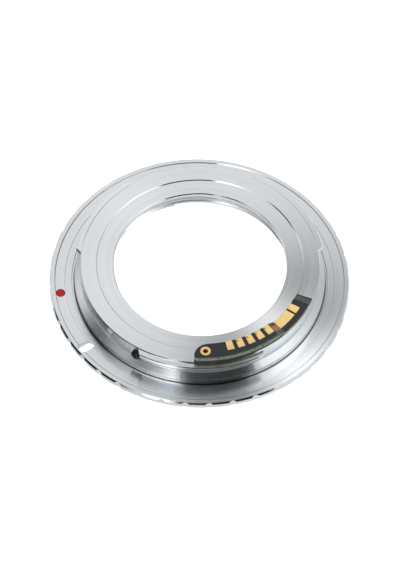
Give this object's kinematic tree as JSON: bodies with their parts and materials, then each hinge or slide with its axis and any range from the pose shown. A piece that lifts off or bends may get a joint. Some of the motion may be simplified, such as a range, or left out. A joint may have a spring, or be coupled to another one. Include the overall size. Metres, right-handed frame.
{
  "type": "lens mount adapter",
  "caption": "Turned metal ring with a scalloped rim, three bayonet tabs and a threaded bore, carrying an arc-shaped contact board.",
  "frame": {"origin": "on the ring's axis, in the flat face that the lens seats on", "axes": "+Z along the ring's axis towards the camera; +X to the right and +Y away from the viewer as pictured, with the index dot at 189.6 degrees from +X, counter-clockwise seen from the camera"},
  "size_m": [0.0678, 0.0678, 0.0094],
  "materials": {
    "chrome_ring": "fine-turned bright plating",
    "black_steel": "black oxide",
    "red_enamel": "glossy enamel fill",
    "solder_mask": "satin black mask over green laminate",
    "gold_plate": "satin gold plating",
    "bare_copper": "sanded bare copper",
    "clear_film": "dull adhesive",
    "chip_black": "moulded epoxy",
    "ceramic_tan": "fired ceramic"
  },
  "bodies": {
    "root": {"adapter_ring": "chrome_ring", "index_dot": "red_enamel", "stop_screw": "black_steel", "adhesive_film": "clear_film", "base_board": "solder_mask", "bond_film": "clear_film", "upper_board": "solder_mask", "board_eyelet": "gold_plate", "step_copper": "bare_copper", "controller_chip": "chip_black", "decoupling_capacitor": "ceramic_tan", "series_resistor": "ceramic_tan", "long_power_pad": "gold_plate", "short_power_pad": "gold_plate", "data_pad_1": "gold_plate", "data_pad_2": "gold_plate", "data_pad_3": "gold_plate", "data_pad_4": "gold_plate", "data_pad_5": "gold_plate"}
  },
  "joints": []
}
